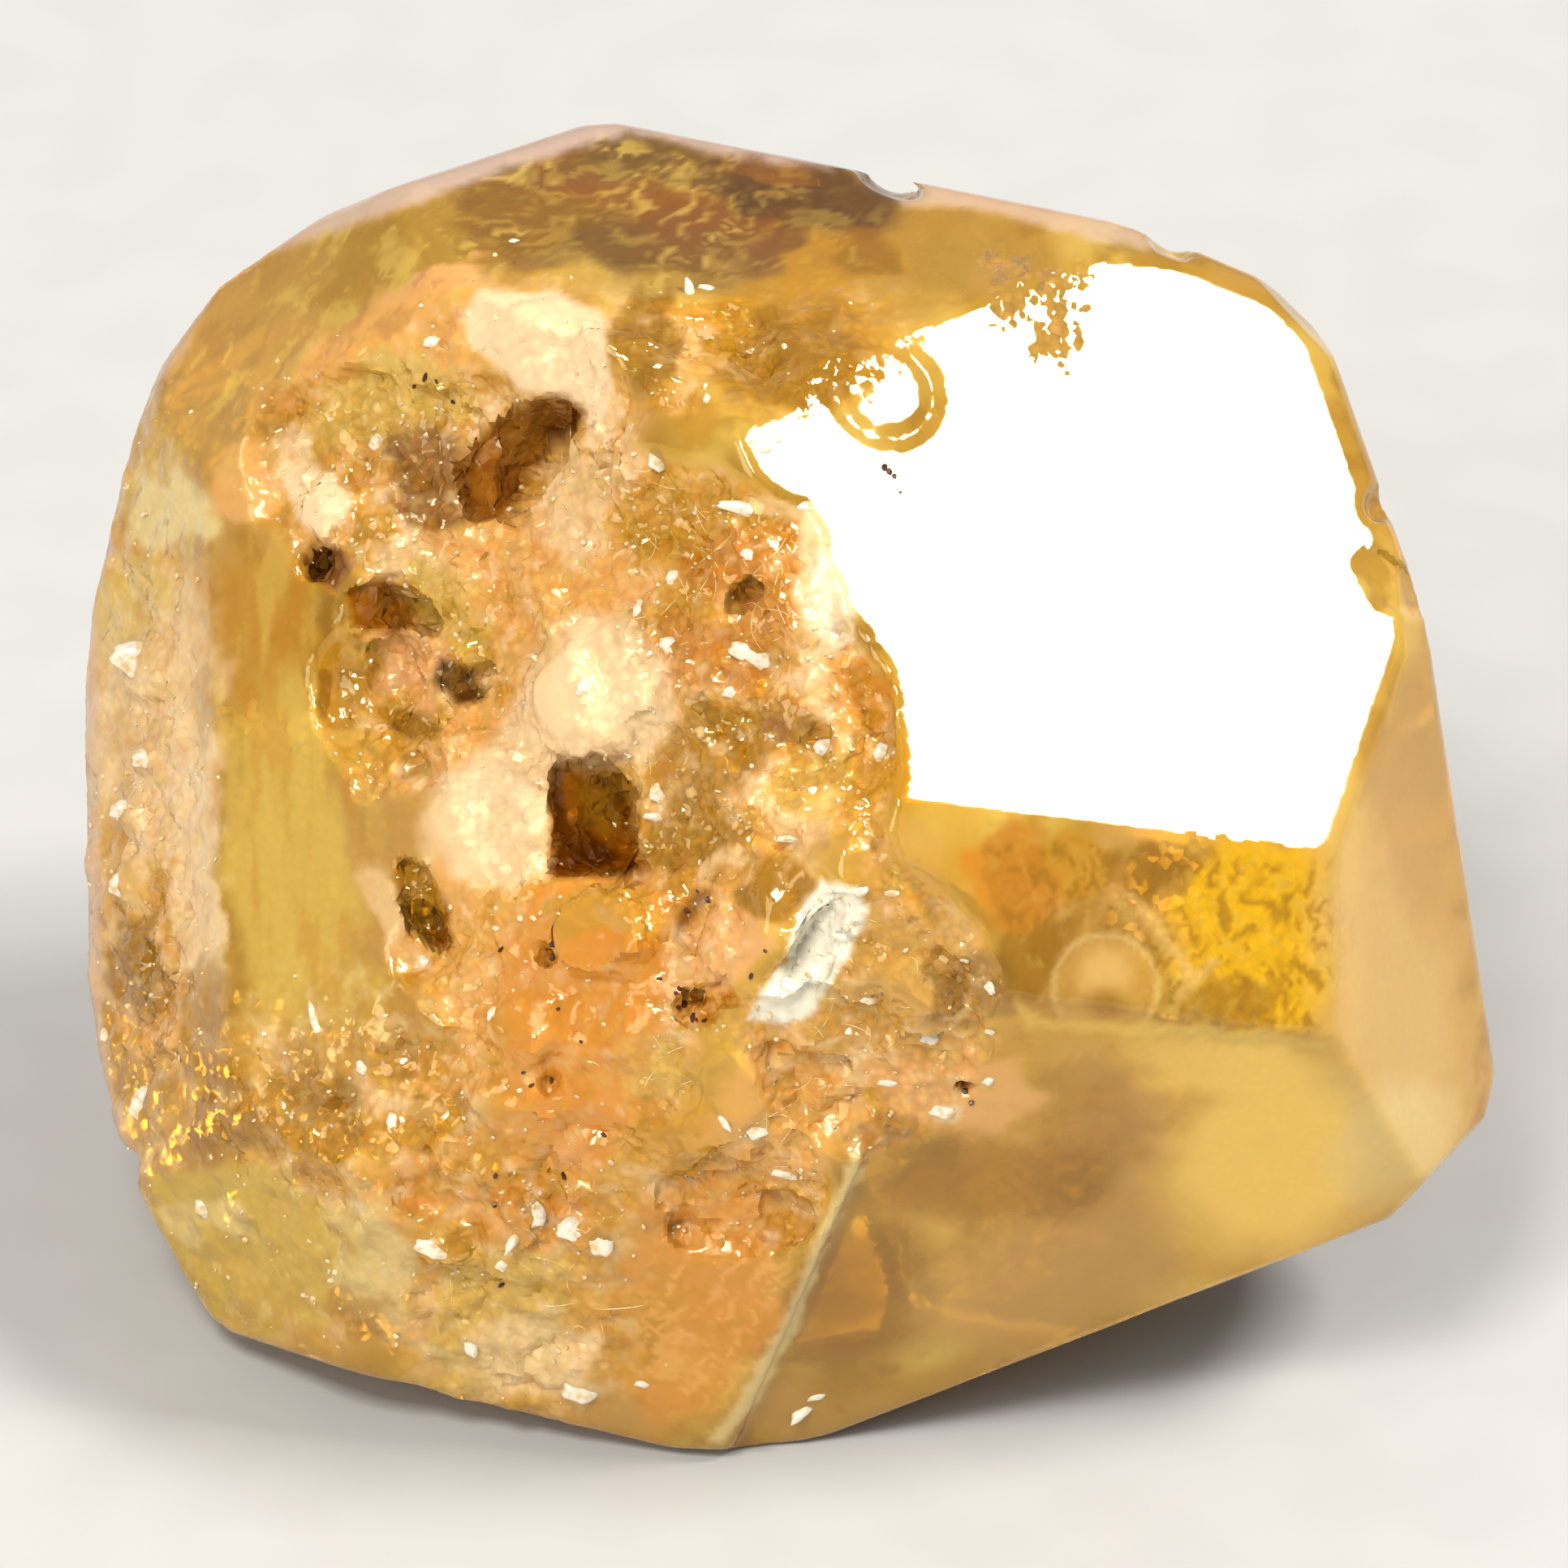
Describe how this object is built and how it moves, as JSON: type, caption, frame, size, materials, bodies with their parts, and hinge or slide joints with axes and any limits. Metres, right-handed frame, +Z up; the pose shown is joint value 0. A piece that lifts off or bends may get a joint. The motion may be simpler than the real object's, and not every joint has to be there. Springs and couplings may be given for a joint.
{
  "type": "grossular garnet crystal",
  "caption": "Thick, see-through honey-yellow garnet crystal with smooth growth faces, softened edges and a broad rough etched hollow; lies on a flat face.",
  "frame": {"origin": "on the surface it rests on, under the middle of the crystal's outline box", "axes": "+Z up from the resting face, +X along the crystal's length to the right as seen from the front, front (the etched side) along -Y"},
  "size_m": [0.0182, 0.013, 0.0141],
  "materials": {
    "honey_garnet": "clear to cloudy honey-yellow crystal, glossy faces, frosted in the etched hollow"
  },
  "bodies": {
    "root": {"garnet_crystal": "honey_garnet"}
  },
  "joints": []
}
